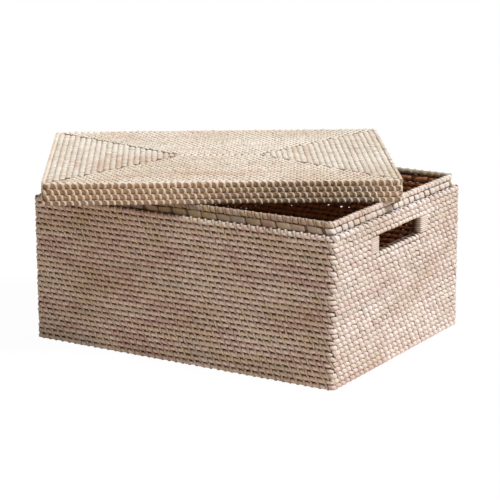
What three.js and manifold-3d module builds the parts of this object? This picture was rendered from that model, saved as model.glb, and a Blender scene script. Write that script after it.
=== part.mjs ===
// A rectangular woven rattan storage box with a lift-off lid.
// The box has two woven layers. The inner one stands above the outer one as a lip, and the outer one
// ends in a shoulder that carries the lid. The lid lies turned and slid aside on top of the lip.
// Millimetres, +Z up, +X along the length, origin at the middle of the underside.

import * as THREE from 'three';
import { mergeVertices } from 'three/addons/utils/BufferGeometryUtils.js';
import Module from 'manifold-3d';

// Driving dimensions
const boxLength = 468;
const boxDepth = 360;
const course = 7.4; // height of one woven course
const wallCourses = 27; // outer wall, with its foot and shoulder borders
const lidCourses = 4; // lid side, with its edge and hem borders
const skin = 6.6; // thickness of one woven layer
const lipRise = 16.2; // top of the lip above the shoulder
const lidClearance = 0.8; // between the lip and the inside of the closed lid
const slotWidth = 120; // clear width of a hand hold
const slotCourses = 3; // courses left out for a hand hold
const coursesOverSlot = 3; // courses from a hand hold up to the shoulder, with the rail and the border
const jambWidth = 7;
const borderRound = 1.8; // corner radius of a border course
const seat = 0.3; // gap where two pieces meet
const lidTurn = THREE.MathUtils.degToRad(33.7); // how the lid lies on the lip
const lidShift = { x: -45, y: -4 };

// Sizes that follow
const wallHeight = wallCourses * course;
const lipInset = skin + lidClearance; // outer face of the lip, from the outer face of the box
const wallInside = lipInset + skin; // inner face of the double wall, from the outer face of the box
const lipTop = wallHeight + lipRise;
const lidHeight = lidCourses * course;
const slotTop = wallHeight - coursesOverSlot * course;
const slotBottom = slotTop - slotCourses * course;
const frameWidth = slotWidth + 2 * jambWidth; // hand hold with its jambs

const colours = { panel: 0xd9c4a9, lining: 0xc9b08f, border: 0xe2cfb5, binding: 0xe6d6bf };

const wasm = await Module();
wasm.setup();

function asSolid(geometry) {
  const bare = geometry.clone();
  bare.deleteAttribute('normal');
  bare.deleteAttribute('uv');
  const joined = mergeVertices(bare);
  const vertProperties = new Float32Array(joined.attributes.position.array);
  const triVerts = new Uint32Array(joined.index.array);
  return new wasm.Manifold(new wasm.Mesh({ numProp: 3, vertProperties, triVerts }));
}

function asGeometry(solid) {
  const { vertProperties, triVerts } = solid.getMesh();
  const geometry = new THREE.BufferGeometry();
  geometry.setAttribute('position', new THREE.BufferAttribute(vertProperties, 3));
  geometry.setIndex(new THREE.BufferAttribute(triVerts, 1));
  geometry.computeVertexNormals();
  return geometry;
}

function piece(name, geometry, colour) {
  const material = new THREE.MeshStandardMaterial({ color: colour, roughness: 0.75, metalness: 0 });
  const mesh = new THREE.Mesh(geometry, material);
  mesh.name = name;
  return mesh;
}

// A section lies in the plane of inward distance from the outer face, and height.
function squareSection(inner, outer, low, high) {
  const section = new THREE.Shape();
  section.moveTo(outer, low);
  section.lineTo(inner, low);
  section.lineTo(inner, high);
  section.lineTo(outer, high);
  section.closePath();
  return section;
}

function roundSection(inner, outer, low, high) {
  const r = borderRound;
  const section = new THREE.Shape();
  section.absarc(inner - r, low + r, r, -Math.PI / 2, 0);
  section.absarc(inner - r, high - r, r, 0, Math.PI / 2);
  section.absarc(outer + r, high - r, r, Math.PI / 2, Math.PI);
  section.absarc(outer + r, low + r, r, Math.PI, 1.5 * Math.PI);
  section.closePath();
  return section;
}

function extruded(section, depth) {
  return new THREE.ExtrudeGeometry(section, { depth, bevelEnabled: false, curveSegments: 3 });
}

// Turns an extrusion so that it runs along X, with its section's distance along Y and its height along Z.
function layAlongX(geometry) {
  const basis = new THREE.Matrix4();
  basis.makeBasis(new THREE.Vector3(0, 1, 0), new THREE.Vector3(0, 0, 1), new THREE.Vector3(1, 0, 0));
  return geometry.applyMatrix4(basis);
}

// A bar along one side of the rectangle, with its ends mitred at the corners.
function mitredBar(section, halfLength) {
  const bar = extruded(section, 2 * halfLength);
  const point = bar.attributes.position;
  for (let i = 0; i < point.count; i += 1) {
    const reach = halfLength - seat / 2 - point.getX(i);
    point.setZ(i, point.getZ(i) > halfLength ? reach : -reach);
  }
  return layAlongX(bar);
}

const sides = [
  { side: 'front', quarterTurns: 0, halfLength: boxLength / 2, faceDistance: boxDepth / 2 },
  { side: 'right', quarterTurns: 1, halfLength: boxDepth / 2, faceDistance: boxLength / 2 },
  { side: 'back', quarterTurns: 2, halfLength: boxLength / 2, faceDistance: boxDepth / 2 },
  { side: 'left', quarterTurns: 3, halfLength: boxDepth / 2, faceDistance: boxLength / 2 },
];
const endSides = sides.filter(({ side }) => side === 'left' || side === 'right');

// Puts geometry that was made at the origin, with its outer face on Y = 0, against one side.
function onSide(name, geometry, colour, { quarterTurns, faceDistance }) {
  geometry.translate(0, -faceDistance, 0);
  const mesh = piece(name, geometry, colour);
  mesh.rotation.z = (quarterTurns * Math.PI) / 2;
  return mesh;
}

function ring(name, section, colour) {
  return sides.map((place) => {
    const bar = mitredBar(section, place.halfLength);
    return onSide(`${name}_${place.side}`, bar, colour, place);
  });
}

// A ring of four woven walls, whose two ends have the opening that takes a hand hold's frame.
function wallRing(name, section, colour) {
  const low = slotBottom - course - seat;
  const high = slotTop + course + seat;
  const opening = new THREE.BoxGeometry(frameWidth + 2 * seat, 4 * wallInside, high - low);
  opening.translate(0, 0, (low + high) / 2);
  const cutter = asSolid(opening);
  return sides.map((place) => {
    const wall = mitredBar(section, place.halfLength);
    const hasSlot = endSides.includes(place);
    const geometry = hasSlot ? asGeometry(asSolid(wall).subtract(cutter)) : wall;
    return onSide(`${name}_${place.side}`, geometry, colour, place);
  });
}

// The frame of a hand hold: a rail over and under it, and a wrapped jamb at each end between them.
function handHold(place) {
  const name = `hand_hold_${place.side}`;
  const rails = [
    { end: 'top_rail', low: slotTop },
    { end: 'bottom_rail', low: slotBottom - course },
  ].map(({ end, low }) => {
    const rail = extruded(roundSection(wallInside, 0, low, low + course), frameWidth);
    rail.translate(0, 0, -frameWidth / 2);
    return onSide(`${name}_${end}`, layAlongX(rail), colours.binding, place);
  });
  const jambHeight = slotTop - slotBottom - 2 * seat;
  const jambs = [
    { end: 'front_jamb', low: -frameWidth / 2 },
    { end: 'back_jamb', low: slotWidth / 2 },
  ].map(({ end, low }) => {
    const along = place.side === 'right' ? low : -low - jambWidth;
    const jamb = extruded(roundSection(along + jambWidth, along, 0, wallInside), jambHeight);
    jamb.translate(0, 0, slotBottom + seat);
    return onSide(`${name}_${end}`, jamb, colours.binding, place);
  });
  return [...rails, ...jambs];
}

function wovenPanel(name, low, colour) {
  const inset = 2 * (skin + seat);
  const panel = new THREE.BoxGeometry(boxLength - inset, boxDepth - inset, skin);
  panel.translate(0, 0, low + skin / 2);
  return piece(name, panel, colour);
}

function makeBox() {
  const box = new THREE.Group();
  const shoulderLow = wallHeight - course;
  const lipBorderLow = lipTop - course;
  box.add(wovenPanel('base_panel', 0, colours.panel));
  box.add(...ring('foot_border', roundSection(skin, 0, 0, course), colours.border));
  const outer = squareSection(skin, 0, course + seat, shoulderLow - seat);
  box.add(...wallRing('outer_wall', outer, colours.panel));
  box.add(...ring('shoulder_border', roundSection(skin, 0, shoulderLow, wallHeight), colours.border));
  const inner = squareSection(wallInside, lipInset, skin + seat, lipBorderLow - seat);
  box.add(...wallRing('inner_wall', inner, colours.lining));
  box.add(...ring('lip_border', roundSection(wallInside, lipInset, lipBorderLow, lipTop), colours.border));
  endSides.forEach((place) => box.add(...handHold(place)));
  return box;
}

function makeLid() {
  const lid = new THREE.Group();
  const edgeLow = lidHeight - course;
  lid.add(...ring('lid_hem', roundSection(skin, 0, 0, course), colours.border));
  lid.add(...ring('lid_side', squareSection(skin, 0, course + seat, edgeLow - seat), colours.panel));
  lid.add(...ring('lid_edge', roundSection(skin, 0, edgeLow, lidHeight), colours.border));
  lid.add(wovenPanel('lid_top', lidHeight - skin, colours.panel));
  lid.position.set(lidShift.x, lidShift.y, lipTop + seat);
  lid.rotation.z = lidTurn;
  return lid;
}

const part = new THREE.Group();
part.add(makeBox(), makeLid());

export default part;
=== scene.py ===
from functools import cache
from math import copysign, cos, pi, radians, sin, tau

import bmesh
import bpy
import numpy as np
from mathutils import Matrix, Vector


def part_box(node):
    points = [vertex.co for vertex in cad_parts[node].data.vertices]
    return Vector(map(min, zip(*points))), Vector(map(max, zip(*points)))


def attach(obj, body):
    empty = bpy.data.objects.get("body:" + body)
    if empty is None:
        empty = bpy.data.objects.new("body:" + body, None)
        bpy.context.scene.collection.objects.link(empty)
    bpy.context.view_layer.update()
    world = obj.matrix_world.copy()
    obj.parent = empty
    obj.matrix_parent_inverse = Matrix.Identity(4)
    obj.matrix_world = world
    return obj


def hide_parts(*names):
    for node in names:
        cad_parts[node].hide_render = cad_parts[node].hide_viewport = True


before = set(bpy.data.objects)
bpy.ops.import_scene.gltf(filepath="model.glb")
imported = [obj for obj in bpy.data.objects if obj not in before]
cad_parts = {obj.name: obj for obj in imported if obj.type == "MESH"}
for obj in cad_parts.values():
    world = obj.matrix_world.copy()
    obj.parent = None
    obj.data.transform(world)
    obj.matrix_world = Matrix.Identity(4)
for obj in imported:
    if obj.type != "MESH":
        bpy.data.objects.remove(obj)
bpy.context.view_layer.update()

# Camera
# A long lens from the front right, a little above the rim, as in the photograph.
view_azimuth = radians(31.51)
view_elevation = radians(14.11)
view_roll = radians(0.186)
view_distance = 2.7399
aim_right = 0.0009
aim_up = 0.1117
lens_pixels = 1963.1
frame_pixels = 500


def towards(azimuth, elevation):
    """The direction to a place at this azimuth, from the front round by the right, and elevation."""
    return Vector((sin(azimuth) * cos(elevation), -cos(azimuth) * cos(elevation), sin(elevation)))


back = towards(view_azimuth, view_elevation)
level = Vector((cos(view_azimuth), sin(view_azimuth), 0))
upright = back.cross(level)
camera_right = level * cos(view_roll) - upright * sin(view_roll)
camera_up = level * sin(view_roll) + upright * cos(view_roll)

lens = bpy.data.cameras.new("photo_view")
lens.lens = lens_pixels / frame_pixels * lens.sensor_width
camera = bpy.data.objects.new("photo_view", lens)
camera_place = camera_right * aim_right + camera_up * aim_up + back * view_distance
camera_axes = Matrix((camera_right, camera_up, back)).transposed()
camera.matrix_world = Matrix.Translation(camera_place) @ camera_axes.to_4x4()
bpy.context.scene.collection.objects.link(camera)
bpy.context.scene.camera = camera
bpy.context.scene.view_settings.view_transform = "Standard"

# Studio
# A pale floor under even light, with one broad soft lamp high on the right. The camera sees the floor
# and the surroundings as white, and the floor keeps a faint shadow.
white = (1, 1, 1, 1)
sky_strength = 0.31
sky_tone = (1, 0.915, 0.83, 1)
lamp_strength = 0.98 * pi
lamp_tone = (0.97, 1, 1.04)
lamp_azimuth = radians(94)
lamp_elevation = radians(55)
lamp_spread = radians(18)
floor_reach = 40
floor_tone = (0.82, 0.62, 0.5, 1)
shadow_share = 0.03


def add_node(tree, kind, inputs, **settings):
    """Adds a shader node and returns its outputs. An input is a value, or another node's output."""
    node = tree.nodes.new("ShaderNode" + kind)
    for setting, value in settings.items():
        setattr(node, setting, value)
    for socket, value in inputs.items():
        if isinstance(value, bpy.types.NodeSocket):
            tree.links.new(value, node.inputs[socket])
        else:
            node.inputs[socket].default_value = value
    return node.outputs


def seen_directly(tree):
    """Is 1 for what the camera sees, straight or by way of metal or glass, and 0 for other light."""
    path = add_node(tree, "LightPath", {})
    rays = {0: path["Is Camera Ray"], 1: path["Is Glossy Ray"]}
    either = add_node(tree, "Math", rays, operation="MAXIMUM")[0]
    return add_node(tree, "Math", {0: either, 1: path["Is Transmission Ray"]}, operation="MAXIMUM")[0]


surroundings = bpy.data.worlds.new("surroundings")
surroundings.use_nodes = True
sky_tree = surroundings.node_tree
sky = sky_tree.nodes["Background"]
sky.inputs["Color"].default_value = sky_tone
sky.inputs["Strength"].default_value = sky_strength
sky_white = add_node(sky_tree, "Background", {"Color": white})[0]
sky_parts = {"Fac": seen_directly(sky_tree), 1: sky.outputs[0], 2: sky_white}
sky_mix = add_node(sky_tree, "MixShader", sky_parts)[0]
sky_tree.links.new(sky_mix, sky_tree.nodes["World Output"].inputs["Surface"])
bpy.context.scene.world = surroundings

lamp = bpy.data.lights.new("soft_lamp", "SUN")
lamp.energy = lamp_strength
lamp.color = lamp_tone
lamp.angle = lamp_spread
lamp_object = bpy.data.objects.new("soft_lamp", lamp)
lamp_object.rotation_euler = towards(lamp_azimuth, lamp_elevation).to_track_quat("Z", "Y").to_euler()
bpy.context.scene.collection.objects.link(lamp_object)

floor_paint = bpy.data.materials.new("pale_floor")
floor_paint.use_nodes = True
floor_tree = floor_paint.node_tree
floor_tree.nodes.remove(floor_tree.nodes["Principled BSDF"])
floor_dull = add_node(floor_tree, "BsdfDiffuse", {"Color": floor_tone})[0]
floor_white = add_node(floor_tree, "Emission", {"Color": white})[0]
floor_shade = add_node(floor_tree, "BsdfDiffuse", {"Color": white})[0]
floor_shown = add_node(floor_tree, "MixShader", {"Fac": shadow_share, 1: floor_white, 2: floor_shade})[0]
floor_parts = {"Fac": seen_directly(floor_tree), 1: floor_dull, 2: floor_shown}
floor_mix = add_node(floor_tree, "MixShader", floor_parts)[0]
floor_tree.links.new(floor_mix, floor_tree.nodes["Material Output"].inputs["Surface"])

floor_mesh = bpy.data.meshes.new("floor")
bm = bmesh.new()
bmesh.ops.create_grid(bm, x_segments=1, y_segments=1, size=floor_reach)
bm.to_mesh(floor_mesh)
bm.free()
floor_mesh.materials.append(floor_paint)
floor = bpy.data.objects.new("floor", floor_mesh)
bpy.context.scene.collection.objects.link(floor)

# Base panel
# A flat rectangular coil of peeled rattan rods, each turn laid round the last one and bound to it by
# split strands. It lies inside the foot border and carries what is stored.
mm = 0.001
rng = np.random.default_rng(11)
strand_tints = [
    (224, 200, 190), (237, 219, 208), (245, 234, 225), (239, 226, 207), (230, 214, 184), (220, 213, 205),
]
rod_tints = [(172, 150, 126), (188, 168, 142), (160, 138, 112)]
# The raw tone is raw cane's colour, and also the painted shade in grooves, creases and dives.
raw_and_shade_tone = (98, 68, 48)
patch_scale = (17, 17, 44)
patch_detail = 3
patch_swing = 2
# The place of the broad stretches was chosen so that a darker, browner one lies on the upper left of the
# front, under the lid's overhang: painted shade there.
cloud_place_for_shade = 2
cloud_scale = 0.6
cloud_detail = 2
cloud_low = 0.3
cloud_high = 0.7
cloud_dark = (0.88, 0.82, 0.76, 1)
cloud_pale = (1.09, 1.12, 1.16, 1)
fibre_scale = (90, 1500, 1500)
fibre_detail = 3
fibre_apart = 40
fibre_low = 0.35
fibre_high = 0.65
fibre_dark = 0.74
wash_wear = 0.4
wash_start = 0.25
dullest = 0.7
least_dull = 0.5
ridge_strength = 0.35
ridge_height = 0.2 * mm


def tone(red, green, blue):
    """An sRGB colour as the linear colour that a shader takes."""
    return *(((c / 255 + 0.055) / 1.055) ** 2.4 for c in (red, green, blue)), 1


def tint_ramp(tree, position, tints):
    """The tints in even steps, from the first at 0 to the last at 1."""
    ramp = tree.nodes.new("ShaderNodeValToRGB")
    stops = ramp.color_ramp.elements
    while len(stops) < len(tints):
        stops.new(0.5)
    for i, colour in enumerate(tints):
        stops[i].position = i / (len(tints) - 1)
        stops[i].color = tone(*colour)
    tree.links.new(position, ramp.inputs[0])
    return ramp.outputs["Color"]


def rattan(name, tints, raw_and_shade):
    """Rattan with a pale wash on its outer faces. The tint changes from strip to strip and over each
    side, and fine fibres run along it. Where the wash attribute is low, at edges, grooves, dives and
    tucked
    tops, it takes the raw tone: partly raw cane that the wash didn't reach, partly painted shade. Broad
    browner and paler stretches lie over it, in part painted shade."""
    material = bpy.data.materials.new(name)
    material.use_nodes = True
    tree = material.node_tree
    layers = ("wash_and_shade", "tint", "grain")
    wash_and_shade, tint, grain = (add_node(tree, "Attribute", {}, attribute_name=layer) for layer in layers)
    place = add_node(tree, "TexCoord", {})["Object"]
    along = add_node(tree, "VectorMath", {0: place, 1: patch_scale}, operation="MULTIPLY")[0]
    patch = add_node(tree, "TexNoise", {"Vector": along, "Scale": 1, "Detail": patch_detail})["Fac"]
    swing = {0: patch, 1: patch_swing, 2: tint["Fac"]}
    swung = add_node(tree, "Math", swing, operation="MULTIPLY_ADD")[0]
    centred = add_node(tree, "Math", {0: swung, 1: patch_swing / 2}, operation="SUBTRACT")[0]
    colour = tint_ramp(tree, centred, tints)

    own_place = add_node(tree, "Math", {0: tint["Fac"], 1: fibre_apart}, operation="MULTIPLY")[0]
    fine = add_node(tree, "VectorMath", {0: grain["Vector"], 1: fibre_scale}, operation="MULTIPLY")[0]
    fibres = {"Vector": fine, "W": own_place, "Scale": 1, "Detail": fibre_detail}
    fibre = add_node(tree, "TexNoise", fibres, noise_dimensions="4D")["Fac"]
    streaks = {"Value": fibre, "From Min": fibre_low, "From Max": fibre_high, "To Min": fibre_dark}
    streak = add_node(tree, "MapRange", streaks)[0]

    # Broad browner and paler stretches, partly the cane's own change of tone and partly painted shade.
    clouds = {"Vector": along, "W": cloud_place_for_shade, "Scale": cloud_scale, "Detail": cloud_detail}
    cloud = add_node(tree, "TexNoise", clouds, noise_dimensions="4D")["Fac"]
    paler = add_node(tree, "MapRange", {"Value": cloud, "From Min": cloud_low, "From Max": cloud_high})[0]
    shades = {"Factor": paler, "A": cloud_dark, "B": cloud_pale}
    shade = add_node(tree, "Mix", shades, data_type="RGBA")["Result"]

    worn = add_node(tree, "Math", {0: fibre, 1: wash_wear, 2: wash_and_shade["Fac"]}, operation="MULTIPLY_ADD")[0]
    cover = {"Value": worn, "From Min": wash_start}
    covered = add_node(tree, "MapRange", cover, interpolation_type="SMOOTHSTEP")[0]
    coats = {"Factor": covered, "A": tone(*raw_and_shade), "B": colour}
    coat = add_node(tree, "Mix", coats, data_type="RGBA")["Result"]
    shaded = add_node(tree, "VectorMath", {0: coat, 1: shade}, operation="MULTIPLY")[0]
    streaked = add_node(tree, "VectorMath", {0: shaded, "Scale": streak}, operation="SCALE")[0]

    dull = add_node(tree, "MapRange", {"Value": fibre, "To Min": dullest, "To Max": least_dull})[0]
    relief = {"Strength": ridge_strength, "Distance": ridge_height, "Height": fibre}
    ridges = add_node(tree, "Bump", relief)[0]
    shader = tree.nodes["Principled BSDF"]
    for socket, value in (("Base Color", streaked), ("Roughness", dull), ("Normal", ridges)):
        tree.links.new(value, shader.inputs[socket])
    return material


rod_finish = 0
strand_finish = 1
merge_distance = 1e-6
strip_shares = [0.16, 0.14, 0.4, 0.24, 0.06]
strip_margin = 0.01


def as_shape(bm, finish):
    """The mesh of one rod or strand, which is laid many times, with the slot of its finish. Each face
    has the strip of the bake map that it goes on: one for the outer half, one for the inner half and
    one for what is hidden."""
    bm.verts.layers.float.new("tint")
    bm.verts.layers.float_vector.new("unrolled")
    strip = bm.faces.layers.int.new("strip")
    bmesh.ops.remove_doubles(bm, verts=bm.verts, dist=merge_distance)
    bmesh.ops.recalc_face_normals(bm, faces=bm.faces)
    for face in bm.faces:
        face.smooth = True
        face.material_index = finish
        out = face.calc_center_median() * Vector((0, 1, 1))
        shown = face.normal.dot(out) > 0
        face[strip] = 2 * finish + (out.y > 0) if shown else len(strip_shares) - 1
    mesh = bpy.data.meshes.new("shape")
    bm.to_mesh(mesh)
    bm.free()
    return mesh


def squared(value, square):
    """Bulges the sine or cosine of a round section towards a square one."""
    return copysign(abs(value) ** square, value)


full_wash = 1
edge_wash_and_shade = 0.75
tuck_painted_shade = 3
hook_start = 0.15
hook_run = 0.6
hook_curve = 1.5


@cache
def strand_turn(outline, deep, tall, square, foot, hook, tuck, pinch, fade, level, crest, steps):
    """One turn of a strand round a rod along X. The outline gives its height over the rod across its
    width, and the steps are those on the outer half and on the inner half. Its upper end hooks to the
    left and is tucked in, its lower end has its own squareness, the foot, and it is pinched where it
    dives between the rods. The level says how much wash it has, and the fade how far it goes over to
    the raw tone where it dives, except on top of a crest: partly raw cane, partly painted shade between
    the rods. Its side edges are a little darker, painted shade in the creases, and its tucked-in top
    darker still, painted shade from the course above, while its lower edge stays pale."""
    bm = bmesh.new()
    wash_and_shade = bm.verts.layers.float.new("wash_and_shade")
    grain = bm.verts.layers.float_vector.new("grain")
    proud = bm.verts.layers.float.new("proud")
    crown = max(height for _, height in outline)
    rim = [bm.verts.new((x, 0, 1)) for x, _ in outline]
    for vert, (_, height) in zip(rim, outline):
        vert[proud] = height
    loop = rim + [bm.edges.new((rim[i - 1], rim[i])) for i in range(len(rim))]
    for half in steps:
        loop = bmesh.ops.spin(bm, geom=loop, axis=(1, 0, 0), angle=pi, steps=half)["geom_last"]
    for vert in bm.verts:
        x, y, z = vert.co
        # Painted shade: the tucked-in top of a strand is darker, as if shaded by the course above, and
        # its lower edge stays pale.
        open_and_lit = min(1, max(abs(y) - tuck_painted_shade * tuck * z, z if crest else 0))
        # The side edges, and where the strand dives between the rods, go towards the raw tone: partly raw
        # cane, partly painted shade.
        domed = edge_wash_and_shade + (1 - edge_wash_and_shade) * max(0, vert[proud]) / crown
        vert[wash_and_shade] = level * domed * (1 - fade * (1 - open_and_lit))
        bulge = foot if z < 0 else square
        vert.co.y = squared(y, bulge) * (deep + vert[proud]) * (1 - tuck * z)
        vert.co.z = squared(z, bulge) * (tall - crown + vert[proud])
        hooked = min(1, max(0, (z - hook_start) / hook_run)) ** hook_curve
        vert.co.x = x * (1 - pinch * z * z) - hook * hooked
        vert[grain] = (vert.co.z, x, 0)
    bm.verts.layers.float.remove(proud)
    return as_shape(bm, strand_finish)


strand_sink = 0.2 * mm
flank_share = 0.76
flank_height = 0.8
flat_step = 4.5 * mm


def crowned(wide, thick):
    """The outline of a wide strand, which is domed across."""
    edge = wide / 2
    flank = flank_share * edge
    side = flank_height * thick
    return (-edge, -strand_sink), (-flank, side), (0, thick), (flank, side), (edge, -strand_sink)


def flat(wide, thick):
    """The outline of a flat strand with eased edges, with points enough to bend round a corner."""
    edge = wide / 2
    top = edge - thick / 2
    across = np.linspace(-top, top, max(2, round(wide / flat_step)))
    return (-edge, -strand_sink), *((float(x), thick) for x in across), (edge, -strand_sink)


section_sides = 8
rod_step = 16 * mm
bend_steps = 3


@cache
def peeled_rod(left, right, deep, tall, square, level, crest, bend, ends):
    """A rod along X. Each end is bent by half a corner, to meet the next side's rod, or cut square or
    to a mitre."""
    bm = bmesh.new()
    wash_and_shade = bm.verts.layers.float.new("wash_and_shade")
    grain = bm.verts.layers.float_vector.new("grain")
    bmesh.ops.create_circle(bm, segments=section_sides, radius=1, matrix=Matrix.Rotation(pi / 2, 4, "Y"))
    for vert in bm.verts:
        # The rod goes to the raw tone on its top and bottom, where it meets the next rod: partly raw
        # cane, partly painted shade in the groove. A crest's top stays pale.
        vert[wash_and_shade] = max(level * abs(vert.co.y), vert.co.z if crest else 0)
        vert.co.y = deep * squared(vert.co.y, square)
        vert.co.z = tall * squared(vert.co.z, square)
    start = left + bend * (ends[0] == "bent")
    run = right - bend * (ends[1] == "bent") - start
    bmesh.ops.translate(bm, vec=(start, 0, 0), verts=bm.verts)
    near = bm.verts[:] + bm.edges[:]
    steps = max(1, round(run / rod_step))
    drawn = bmesh.ops.spin(bm, geom=near, axis=(0, 0, 1), dvec=(run / steps, 0, 0), angle=0, steps=steps)
    far = drawn["geom_last"]
    for loop, x, way, end in ((near, start, -1, ends[0]), (far, start + run, 1, ends[1])):
        if end == "bent":
            bow = {"axis": (0, 0, 1), "cent": (x, bend, 0), "angle": way * pi / 4, "steps": bend_steps}
            loop = bmesh.ops.spin(bm, geom=loop, **bow)["geom_last"]
        if end == "mitred":
            for vert in (item for item in loop if isinstance(item, bmesh.types.BMVert)):
                vert.co.x -= way * vert.co.z
        rim = [item for item in loop if isinstance(item, bmesh.types.BMEdge)]
        bmesh.ops.contextual_create(bm, geom=rim)
    for vert in bm.verts:
        vert[grain] = vert.co
    return as_shape(bm, rod_finish)


y_axis = 1
z_axis = 2


def round_corners(spots, straight, bend, inward):
    """Takes what lies past the straight stretches, left and right of the middle, round the bends of a
    course. The axis inward goes to the middle of the box."""
    past = np.abs(spots[:, 0]) - np.where(spots[:, 0] < 0, *straight)
    over = past > 0
    turn = np.minimum(past[over] / bend, pi / 2)
    rest = past[over] - turn * bend
    arm = bend - spots[over, inward]
    spots[over, inward] = bend - arm * np.cos(turn) + rest * np.sin(turn)
    forward = arm * np.sin(turn) + rest * np.cos(turn) - past[over]
    spots[over, 0] += np.sign(spots[over, 0]) * forward


sway_height = 0.1 * mm
sway_length = 14 * mm
sway_ratio = 2.7
uncut = (-np.inf, np.inf)


def lay(bm, shape, place, tint, sway=(0, 0), own=None, course_bend=None, mitres=uncut):
    """Adds one rod or strand with its own tint. A strand has its own place on the course, bends with it
    and is cut at its mitres, and a course sways a little up and down."""
    copy = shape.copy()
    if own:
        copy.transform(own)
    spots = np.empty(3 * len(copy.vertices))
    copy.vertices.foreach_get("co", spots)
    spots = spots.reshape(-1, 3)
    slow = np.sin(spots[:, 0] / sway_length + sway[0])
    quick = np.sin(sway_ratio * spots[:, 0] / sway_length + sway[1])
    spots[:, 2] += sway_height * (slow + quick)
    spots[:, 0] = np.clip(spots[:, 0], mitres[0] + spots[:, 2], mitres[1] - spots[:, 2])
    unrolled = spots * (1, 0, 1) + np.array(place.translation) * (1, 0, 1)
    copy.attributes["unrolled"].data.foreach_set("vector", unrolled.ravel())
    if course_bend:
        round_corners(spots, *course_bend)
    copy.vertices.foreach_set("co", spots.ravel())
    copy.transform(place)
    copy.attributes["tint"].data.foreach_set("value", [tint] * len(copy.vertices))
    bm.from_mesh(copy)
    bpy.data.meshes.remove(copy)


strip_tint = 0.5
strip_spread = 0.22
turn_spread = 0.09
strip_turns = (3, 14)


def strip_tints(count):
    """The tints of a course's strands: one strip makes a run of them, and then the next strip starts."""
    tints = []
    while len(tints) < count:
        strip = rng.normal(strip_tint, strip_spread)
        tints += [strip + rng.normal(0, turn_spread) for _ in range(rng.integers(*strip_turns))]
    return tints


lean_spread = 0.09
size_spread = 0.06
proud_spread = 0.03
slant_spread = 0.045
place_spread = 0.04
lash_over = 0.9 * mm
lash_thin = 0.55
lash_square = 0.5
lash_steps = (5, 2)
lash_aside = 0.4 * mm
lash_darker = 0.3
loose_share = 0.6
loose_wander = 25 * mm
loose_height = 130 * mm


def bind(bm, place, spots, size, strands, straight, inward, sway, mitres=uncut):
    """Lays a course's strands at their lengths from its middle, each with its own lean and size, and
    the narrow lashings between them, where the course has those. In loose stretches some are missing."""
    deep = size[0] / 2 - strands["thick"]
    tall = size[1] / 2 + strands["over"]
    shape = [strands[key] for key in ("square", "foot", "hook", "tuck", "pinch", "fade")]
    outline = strands["outline"](strands["wide"], strands["thick"])
    turn = strand_turn(outline, deep, tall, *shape, full_wash, strands["crest"], strands["steps"])
    if strands["lash"]:
        outline = flat(strands["lash"], lash_thin * strands["thick"])
        plain = (lash_square, lash_square, 0, 0, 0, strands["fade"])
        finish = (strands["lash_wash"], strands["crest"], lash_steps)
        lashing = strand_turn(outline, deep, size[1] / 2 + lash_over, *plain, *finish)
    course_bend = (straight, strands["bend"], inward)
    wander = rng.normal(0, loose_wander) if place.translation.z > loose_height else np.inf
    for spot, tint in zip(spots, strip_tints(len(spots))):
        lean = rng.normal(strands["lean"], lean_spread)
        wider = rng.normal(1, size_spread)
        taller = rng.normal(1, size_spread)
        prouder = rng.normal(1, proud_spread)
        slant = rng.normal(strands["slant"], slant_spread)
        spot += rng.normal(0, place_spread) * strands["pitch"]
        own = Matrix(((wider, 0, -lean, spot), (0, prouder, 0, 0), (-slant, 0, taller, 0), (0, 0, 0, 1)))
        lay(bm, turn, place, tint, sway, own, course_bend, mitres)
        loose = strands["lash"] and any(low < spot + wander < high for low, high in strands["loose"])
        if strands["lash"] and not (loose and rng.random() < loose_share):
            beside = spot - strands["pitch"] / 2 - lash_aside
            own = Matrix(((1, 0, -lean, beside), (0, 1, 0, 0), (0, 0, 1, 0), (0, 0, 0, 1)))
            lay(bm, lashing, place, tint - lash_darker, sway, own, course_bend)


def rod_section(size, strands):
    """The half depth, half height, shape and wash of the rod in a course of this depth and height."""
    half_depth = size[0] / 2 - strands["thick"]
    half_height = (size[1] - strands["rod_gap"]) / 2
    return half_depth, half_height, strands["rod_square"], strands["rod_wash"], strands["crest"]


def map_strips(mesh):
    """Gives a piece a map for baking. It shows the courses side by side, as they lie before they are
    bent round the corners, in a strip for the outer halves of the rods, one for their inner halves, two
    for the halves of the strands and one for what is hidden."""
    flat_spots = np.empty(3 * len(mesh.vertices))
    mesh.attributes["unrolled"].data.foreach_get("vector", flat_spots)
    flat_spots = flat_spots.reshape(-1, 3)
    across, up = sorted(np.argsort(np.ptp(flat_spots, axis=0))[1:])
    flat_spots = flat_spots[:, [across, up]]
    flat_spots = (flat_spots - flat_spots.min(axis=0)) / np.ptp(flat_spots, axis=0)
    strips = np.empty(len(mesh.polygons), dtype=np.int32)
    mesh.attributes["strip"].data.foreach_get("value", strips)
    corner_counts = np.empty(len(mesh.polygons), dtype=np.int32)
    mesh.polygons.foreach_get("loop_total", corner_counts)
    corners = np.empty(len(mesh.loops), dtype=np.int32)
    mesh.loops.foreach_get("vertex_index", corners)
    strips = np.repeat(strips, corner_counts)
    places = strip_margin + (1 - 2 * strip_margin) * flat_spots[corners]
    strip_lows = np.cumsum([0] + strip_shares)
    places[:, 1] = strip_lows[strips] + places[:, 1] * np.array(strip_shares)[strips]
    mesh.uv_layers.new(name="OFBake").data.foreach_set("uv", places.ravel())


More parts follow.
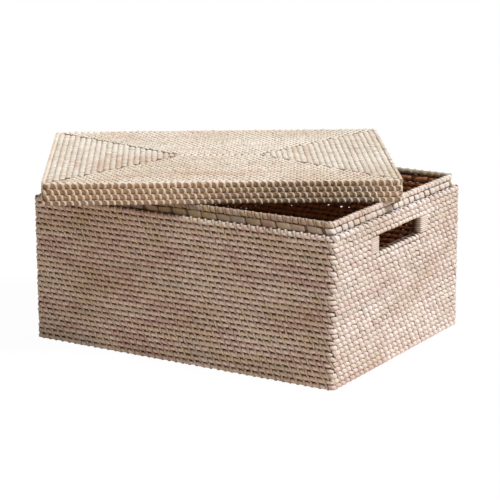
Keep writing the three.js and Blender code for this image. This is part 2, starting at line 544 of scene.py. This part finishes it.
def add_piece(name, bm, place, body, materials, mapped=True):
    """Makes the piece that stands for a node, in its place and flat where it stands on the floor, and
    lets it ride on its body."""
    mesh = bpy.data.meshes.new(name)
    bm.to_mesh(mesh)
    bm.free()
    mesh.transform(place)
    for vert in mesh.vertices:
        vert.co.z = max(0, vert.co.z)
    if mapped:
        map_strips(mesh)
    for layer in ("unrolled", "strip"):
        mesh.attributes.remove(mesh.attributes[layer])
    for material in materials:
        mesh.materials.append(material)
    piece = bpy.data.objects.new(name + "_woven", mesh)
    bpy.context.scene.collection.objects.link(piece)
    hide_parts(name)
    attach(piece, body)


outer_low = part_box("foot_border_left")[0]
outer_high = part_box("foot_border_right")[1]
box_length = outer_high.x - outer_low.x
box_depth = outer_high.y - outer_low.y
course = outer_high.z - outer_low.z
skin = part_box("foot_border_front")[1].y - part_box("foot_border_front")[0].y
# Of each side: the quarter turns from the front, half the length and how far out the face lies.
sides = {
    "front": (0, box_length / 2, box_depth / 2),
    "right": (1, box_depth / 2, box_length / 2),
    "back": (2, box_length / 2, box_depth / 2),
    "left": (3, box_depth / 2, box_length / 2),
}
panel_turns = 22
front_splice = 0.7 * mm
back_splice = 2.2 * mm
splice_lap = 3 * mm
bend_limit = 0.9


def facing(side):
    """The place of a side that was made with its outer face on Y = 0."""
    turns, _, face = sides[side]
    return Matrix.Rotation(turns * pi / 2, 4, "Z") @ Matrix.Translation((0, -face, 0))


def weave_sector(half, inset, size, strands, splices):
    """One side's share of a coil, with its turns numbered from the rim and its outer face on Y = 0. Its
    strands go round an end with no splice, and are cut to a mitre at an end with one."""
    bm = bmesh.new()
    thick, pitch = size
    step = strands["pitch"]
    for number in range(panel_turns):
        from_rim = inset + (number + 0.5) * pitch
        reach = half - from_rim
        bend = min(strands["bend"], bend_limit * reach)
        straight = reach - bend
        turned = straight + bend * pi / 4
        place = Matrix.Translation((0, thick / 2, from_rim))
        sway = rng.uniform(0, tau, 2)
        far = reach + splice_lap
        rod = peeled_rod(-far, far, *rod_section(size, strands), 0, ("mitred", "mitred"))
        lay(bm, rod, place, rng.random(), sway)
        left, right = (reach - splice if splice else turned for splice in splices)
        mitres = (-left if splices[0] else -np.inf, right if splices[1] else np.inf)
        spots = np.arange(-left + (left - number * strands["shift"] * step) % step, right, step)
        bend_at = tuple(reach if splice else straight for splice in splices)
        bind(bm, place, spots, size, strands | {"bend": bend}, bend_at, z_axis, sway, mitres)
    return bm


def weave_panel(inset, thick, side_strands):
    """A rectangular coil with its outer face up, on Z = 0. The rods lap over each other at the corners.
    The strands go round two of these, and stop short of the other two."""
    whole = bmesh.new()
    size = (thick, (min(box_length, box_depth) / 2 - inset) / panel_turns)
    splices = {
        "front": (0, front_splice),
        "right": (front_splice, 0),
        "back": (0, back_splice),
        "left": (back_splice, 0),
    }
    for side, (_, half, _) in sides.items():
        bm = weave_sector(half, inset, size, side_strands[side], splices[side])
        sector = bpy.data.meshes.new("sector")
        bm.to_mesh(sector)
        bm.free()
        laid_flat = facing(side) @ Matrix.Rotation(-pi / 2, 4, "X")
        for spot in sector.attributes["unrolled"].data:
            spot.vector = laid_flat @ spot.vector
        sector.transform(laid_flat)
        whole.from_mesh(sector)
        bpy.data.meshes.remove(sector)
    return whole


washed = [rattan("raw_rod", rod_tints, raw_and_shade_tone), rattan("washed_strand", strand_tints, raw_and_shade_tone)]
# A strand's section, its way round the rod, its places along the course, its lashing and its rod.
base_strands = {
    "wide": 8 * mm, "thick": 0.9 * mm, "outline": flat, "steps": (6, 3), "square": 0.8, "foot": 0.8,
    "hook": 0, "tuck": 0, "pinch": 0, "fade": 0.6, "over": 0, "pitch": 11 * mm, "shift": 0.386,
    "lean": 0.5, "slant": 0, "bend": 3.6 * mm, "lash": 0, "crest": False, "rod_gap": -0.5 * mm,
    "rod_square": 0.6, "rod_wash": 1,
}
base_low, base_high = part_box("base_panel")
base_inset = base_low.x - outer_low.x
base = weave_panel(base_inset, base_high.z - base_low.z, dict.fromkeys(sides, base_strands))
upside_down = Matrix.Rotation(pi, 4, "X")
add_piece("base_panel", base, upside_down, "box", washed)

# Foot border, outer walls and shoulder border
# Rods laid on each other in courses from the foot up, bent round the corners and bound by wide leaning
# strands, each course a part of a strand on from the one above. The shoulder is the last course, and
# the closed lid's hem sits on it.
front_strands = {
    "wide": 9 * mm, "thick": 1 * mm, "outline": crowned, "steps": (6, 3), "square": 0.95, "foot": 0.55,
    "hook": 0.3 * mm, "tuck": 0.28, "pinch": 0.1, "fade": 0.7, "over": -0.75 * mm, "pitch": 11 * mm,
    "shift": 0.4, "lean": 0.33, "slant": 0.05, "bend": 3.4 * mm, "lash": 3.4 * mm, "lash_wash": 0.64,
    "loose": (), "crest": False, "rod_gap": 2.4 * mm, "rod_square": 0.8, "rod_wash": 1,
}
end_strands = front_strands | {
    "wide": 10.2 * mm, "thick": 0.9 * mm, "square": 0.75, "foot": 0.65, "tuck": 0.1, "fade": 0.5,
    "over": 0.05 * mm, "pitch": 12.4 * mm, "lean": 0.4, "slant": 0.1, "lash": 3.2 * mm, "lash_wash": 0.6,
}
loose_stretches = ((-90 * mm, -26 * mm), (66 * mm, 95 * mm))
back_strands = front_strands | {"over": -0.2 * mm, "lash": 5 * mm, "loose": loose_stretches}
wall_strands = {"front": front_strands, "right": end_strands, "back": back_strands, "left": end_strands}
# Painted light: the ends take a paler, less pink copy of the washed strand, the bleached look of the
# sunlit right end; the left end shares it.
end_tints = [
    (232, 215, 206), (240, 227, 218), (247, 239, 232), (242, 232, 219), (236, 224, 207), (229, 221, 214),
]
whiter = [washed[0], rattan("end_strand", end_tints, raw_and_shade_tone)]
wall_finish_and_light = {"front": washed, "right": whiter, "back": washed, "left": whiter}
wall_courses = round(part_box("shoulder_border_front")[1].z / course)
rail_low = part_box("hand_hold_right_bottom_rail")
rail_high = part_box("hand_hold_right_top_rail")
frame_half = (rail_low[1].y - rail_low[0].y) / 2
frame_seat = 0.3 * mm
corner_ease = 2.6 * mm


def weave_course(bm, reach, depth, low, high, strands, number, stop=0):
    """One course of a side: a rod bent round both corners, or two that stop at a hand hold, with the
    strands. A whole number of strands goes on each side, so the weave runs on round the corners."""
    size = (skin, high - low)
    bend = strands["bend"]
    place = Matrix.Translation((0, depth, (low + high) / 2))
    sway = rng.uniform(0, tau, 2)
    runs = [(-reach, reach, "bent", "bent")]
    if stop:
        runs = [(-reach, -stop, "bent", "square"), (stop, reach, "square", "bent")]
    for left, right, *ends in runs:
        rod = peeled_rod(left, right, *rod_section(size, strands), bend + corner_ease, tuple(ends))
        lay(bm, rod, place, rng.random(), sway)
    straight = reach - bend
    half = straight + bend * pi / 4
    pitch = strands["pitch"]
    count = round(2 * half / pitch)
    spots = -half + (np.arange(count) + (-number * strands["shift"]) % 1) * 2 * half / count
    if stop:
        edge = stop + strands["wide"] / 2
        runs = ((spots[0], -edge), (edge, spots[-1]))
        spots = np.concatenate([np.linspace(*run, round(np.ptp(run) / pitch) + 1) for run in runs])
    bind(bm, place, spots, size, strands, (straight, straight), y_axis, sway)


def weave_side(side, numbers, depth, strands, course_low):
    """The courses of one side. Those beside a hand hold stop at its frame."""
    bm = bmesh.new()
    reach = sides[side][1] - depth
    for number in numbers:
        low, high = course_low(number), course_low(number + 1)
        beside_hold = side in ("left", "right") and rail_low[0].z < (low + high) / 2 < rail_high[1].z
        stop = frame_half + frame_seat if beside_hold else 0
        weave_course(bm, reach, depth, low, high, strands, number, stop)
    return bm


def even_course(number):
    """The underside of a course of the outer wall."""
    return number * course


for side in sides:
    strands = wall_strands[side]
    foot = weave_side(side, [0], skin / 2, strands, even_course)
    add_piece(f"foot_border_{side}", foot, facing(side), "box", wall_finish_and_light[side])
    wall = weave_side(side, range(1, wall_courses - 1), skin / 2, strands, even_course)
    add_piece(f"outer_wall_{side}", wall, facing(side), "box", wall_finish_and_light[side])
    shoulder = weave_side(side, [wall_courses - 1], skin / 2, strands | {"crest": True}, even_course)
    add_piece(f"shoulder_border_{side}", shoulder, facing(side), "box", wall_finish_and_light[side])

# Inner walls and lip border
# A second woven layer that lines the box and stands above the shoulder as a lip, on which the lid is
# centred. Its outer face is washed like the outside, and its inner face is nearly raw.
lip_low, lip_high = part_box("lip_border_front")
inner_depth = (lip_low.y + lip_high.y) / 2 - outer_low.y
shoulder_low, shoulder_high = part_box("shoulder_border_front")
long_sink = 1 * mm
long_low = shoulder_high.z - long_sink
inner_courses = 27
lining_margin = 1 * mm
lining_shape = {
    "outline": flat, "lash": 0, "tuck": 0, "square": 0.85, "foot": 0.85, "over": 0.2 * mm,
}
lip_strands = front_strands | {
    "wide": 8 * mm, "steps": (10, 3), "square": 0.55, "foot": 0.5, "tuck": 0.1, "over": -0.1 * mm,
    "slant": 0.04, "lash": 3 * mm, "lash_wash": 0.8, "crest": True, "rod_gap": -0.2 * mm,
    "rod_wash": 0.3,
}
long_strands = lip_strands | {
    "wide": 20.2 * mm, "pitch": 22 * mm, "outline": flat, "square": 0.4, "foot": 0.4, "over": -0.6 * mm,
    "slant": 0, "lean": 0.4, "lash": 0, "crest": False,
}
short_strands = long_strands | {"wide": 13.4 * mm, "pitch": 15 * mm, "square": 0.6, "foot": 0.5}
under_lip = {"front": long_strands, "right": short_strands, "back": long_strands, "left": short_strands}
# Painted shade: the lips of the front and back, which face away from the lamp, take a darker, browner
# copy of the strand; those of the ends take the paler one.
lip_shaded_tints = [(176, 148, 140), (192, 169, 147), (198, 182, 162), (184, 166, 124), (170, 162, 156)]
lip_painted_shade = [rattan("lip_rod", rod_tints, raw_and_shade_tone), rattan("lip_strand_shaded", lip_shaded_tints, raw_and_shade_tone)]
lip_lit_and_shaded = {"front": lip_painted_shade, "right": whiter, "back": lip_painted_shade, "left": whiter}
lining_tints = [(204, 130, 82), (212, 144, 96), (194, 120, 74)]
lined = [rattan("lining_rod", lining_tints, raw_and_shade_tone), rattan("lining_strand", lining_tints, raw_and_shade_tone)]


def inner_course(number):
    """The underside of a course of the inner wall. These are a little finer than the outer wall's."""
    return course + (number - 1) * (long_low - course) / inner_courses


def lining(bm, depth, half):
    """Leaves the inner face, and all that the outer wall hides, in the finish of the lining."""
    for face in bm.faces:
        middle = face.calc_center_median()
        inside = min(middle.y, half - abs(middle.x)) > depth + lining_margin
        if inside or middle.z < shoulder_low.z:
            face.material_index += len(washed)
    return bm


for side, (_, half, _) in sides.items():
    reach = half - inner_depth
    strands = wall_strands[side] | lining_shape
    wall = weave_side(side, range(1, inner_courses + 1), inner_depth, strands, inner_course)
    weave_course(wall, reach, inner_depth, long_low, lip_low.z, under_lip[side], 0)
    wall = lining(wall, inner_depth, half)
    finish = lip_lit_and_shaded[side]
    add_piece(f"inner_wall_{side}", wall, facing(side), "box", finish + lined)
    lip = bmesh.new()
    weave_course(lip, reach, inner_depth, lip_low.z, lip_high.z, lip_strands, 1)
    add_piece(f"lip_border_{side}", lip, facing(side), "box", finish)

# Hand holds
# Each is an opening three courses high in both layers. A pair of rods bound together makes the rail
# over it and the one under it, and a post wound with strands closes the cut ends of the courses on
# either side.
frame_deep = rail_low[1].x - rail_low[0].x
# Painted shade: the rails' strands go wholly to the raw tone on their upper and lower faces, so the faces
# inside the opening read as shaded.
rail_strands = end_strands | {
    "wide": 10 * mm, "hook": 0, "tuck": 0, "fade": 1, "pitch": 10.4 * mm, "lean": 0.2, "lash": 0,
}
jamb_winds = 8
jamb_wrap = 13 * mm
jamb_proud = 0.5 * mm
jamb_corner = 2 * mm
jamb_round = 0.9 * mm
jamb_edge = 0.25
jamb_fade = 0.6
jamb_spread = 0.01


def wound_rail(low, high):
    """Two rods side by side, with each strand round both."""
    bm = bmesh.new()
    place = Matrix.Translation((0, frame_deep / 2, (low.z + high.z) / 2))
    section = rod_section((skin, course), rail_strands)
    rod = peeled_rod(-frame_half, frame_half, *section, 0, ("square", "square"))
    for way in (-1, 1):
        lay(bm, rod, place @ Matrix.Translation((0, way * (frame_deep - skin) / 2, 0)), rng.random())
    count = round(2 * frame_half / rail_strands["pitch"])
    spots = (np.arange(count) + 0.5) * 2 * frame_half / count - frame_half
    size = (frame_deep, course)
    bind(bm, place, spots, size, rail_strands, (frame_half, frame_half), y_axis, (0, 0))
    return bm


def jamb_turn(size, outer):
    """One round-edged turn of a post, washed on the outside of the box only. Its inner half takes the raw
    tone, partly raw cane and partly painted shade in the opening, and it is darker towards its top and
    bottom.
    """
    bm = bmesh.new()
    wash_and_shade = bm.verts.layers.float.new("wash_and_shade")
    grain = bm.verts.layers.float_vector.new("grain")
    bmesh.ops.create_cube(bm, size=1)
    bmesh.ops.scale(bm, vec=size, verts=bm.verts)
    rounding = {"affect": "EDGES", "segments": 2, "profile": 0.5, "material": -1}

    def stands(edge):
        return abs(edge.verts[0].co.z - edge.verts[1].co.z) > size.z / 2

    uprights = [edge for edge in bm.edges if stands(edge)]
    bmesh.ops.bevel(bm, geom=uprights, offset=jamb_corner, **rounding)
    rims = [edge for edge in bm.edges if not stands(edge)]
    bmesh.ops.bevel(bm, geom=rims, offset=jamb_round, **rounding)
    for vert in bm.verts:
        edge = max(0, abs(vert.co.z) - jamb_edge * size.z) / (jamb_edge * size.z)
        vert[wash_and_shade] = (1 - jamb_fade * edge) * (outer * vert.co.x > 0)
        vert[grain] = (vert.co.x, vert.co.z, 0)
    return as_shape(bm, strand_finish)


def wound_post(low, high):
    """A post of turns, one on the other, which wrap the ends of the courses behind it."""
    bm = bmesh.new()
    outer = copysign(1, low.x)
    low, high = low.copy(), high.copy()
    if low.y < 0:
        low.y -= jamb_wrap
    else:
        high.y += jamb_wrap
    low.x -= jamb_proud
    high.x += jamb_proud
    size = high - low
    size.z /= jamb_winds
    turn = jamb_turn(size, outer)
    for number in range(jamb_winds):
        middle = (low + high) / 2
        middle.z = low.z + (number + 0.5) * size.z
        place = Matrix.Translation(middle) @ Matrix.Scale(rng.normal(1, jamb_spread), 4)
        lay(bm, turn, place, rng.random())
    return bm


for side in ("right", "left"):
    for rail in ("top_rail", "bottom_rail"):
        name = f"hand_hold_{side}_{rail}"
        add_piece(name, wound_rail(*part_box(name)), facing(side), "box", whiter)
    for jamb in ("front_jamb", "back_jamb"):
        name = f"hand_hold_{side}_{jamb}"
        post = wound_post(*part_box(name))
        add_piece(name, post, Matrix.Identity(4), "box", whiter, mapped=False)

# Lid hem, sides and edge
# The lid's rim is four courses of the same rods, bound more closely by narrower strands. The hem is the
# lowest one, which sits on the shoulder of the closed box, and the edge is the highest, to which the
# top is bound.
lid_turn = radians(33.7)
lid_low, lid_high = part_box("lid_top")
hem_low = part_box("lid_hem_front")[0].z
lid_middle = (lid_low + lid_high) / 2
lid_spot = Matrix.Translation((lid_middle.x, lid_middle.y, hem_low))
lid_place = lid_spot @ Matrix.Rotation(lid_turn, 4, "Z")
lid_strands = {
    "wide": 3.3 * mm, "thick": 0.9 * mm, "outline": crowned, "steps": (10, 3), "square": 0.5,
    "foot": 0.5, "hook": 4.4 * mm, "tuck": 0, "pinch": 0, "fade": 0.5, "over": 0.6 * mm,
    "pitch": 8.95 * mm, "shift": 0.433, "lean": 0.14, "slant": 0, "bend": 5.5 * mm, "lash": 0,
    "crest": False, "rod_gap": -0.4 * mm, "rod_square": 0.65, "rod_wash": 1,
}
# Painted shade: the hem's strands go wholly to the raw tone where they dive between the rods, so the
# underside of the lid's rim reads as shaded.
hem_strands = lid_strands | {"fade": 1, "over": 0}
edge_strands = lid_strands | {"crest": True, "rod_wash": 0}
lid_tints = [(226, 205, 183), (240, 224, 204), (232, 214, 192)]
lid_rod_tints = [(180, 148, 132), (186, 158, 124), (168, 146, 108), (160, 142, 126)]
lid_raw_and_shade_tone = (128, 98, 70)
edge_raw_and_shade_tone = (172, 143, 112)
top_tints = [(235, 211, 189), (244, 226, 207), (248, 236, 220), (243, 228, 203), (232, 219, 202)]
rimmed = [rattan("lid_rod", lid_rod_tints, lid_raw_and_shade_tone), rattan("lid_strand", lid_tints, edge_raw_and_shade_tone)]
edged = [rattan("edge_rod", top_tints, edge_raw_and_shade_tone), rimmed[1]]
lid_courses = round((lid_high.z - hem_low) / course)
rim_parts = {
    "hem": ([0], hem_strands, "border", rimmed),
    "side": (range(1, lid_courses - 1), lid_strands, "woven_panel", rimmed),
    "edge": ([lid_courses - 1], edge_strands, "border", edged),
}
for side in sides:
    for part, (numbers, strands, slot, finish) in rim_parts.items():
        bm = bmesh.new()
        reach = sides[side][1] - skin / 2
        for number in numbers:
            weave_course(bm, reach, skin / 2, number * course, (number + 1) * course, strands, number)
        add_piece(f"lid_{part}_{side}", bm, lid_place @ facing(side), "lid", finish)

# Lid top
# A rectangular coil like the base, finer bound, whose turns meet in four mitres that run from the
# corners to a short spine. It is bound to the edge of the rim.
top_strands = {
    "wide": 7.4 * mm, "thick": 0.6 * mm, "outline": flat, "steps": (6, 3), "square": 0.5, "foot": 0.5,
    "hook": 0, "tuck": 0, "pinch": 0.1, "fade": 0.4, "over": 0.55 * mm, "pitch": 8.7 * mm,
    "shift": 0.431, "lean": 0.05, "slant": 0, "bend": 3.9 * mm, "lash": 0, "crest": False,
    "rod_gap": 2.6 * mm, "rod_square": 0.8, "rod_wash": 0.4,
}
open_strands = top_strands | {"pinch": 0.4, "over": 0.42 * mm}
sector_strands = {"front": top_strands, "right": open_strands, "back": top_strands, "left": open_strands}
top_overlap = 0.8 * mm
topped = [rattan("top_rod", rod_tints, raw_and_shade_tone), rattan("top_strand", top_tints, raw_and_shade_tone)]
lid_panel = weave_panel(base_inset - top_overlap, lid_high.z - lid_low.z, sector_strands)
top_place = lid_place @ Matrix.Translation((0, 0, lid_high.z - hem_low))
add_piece("lid_top", lid_panel, top_place, "lid", topped)
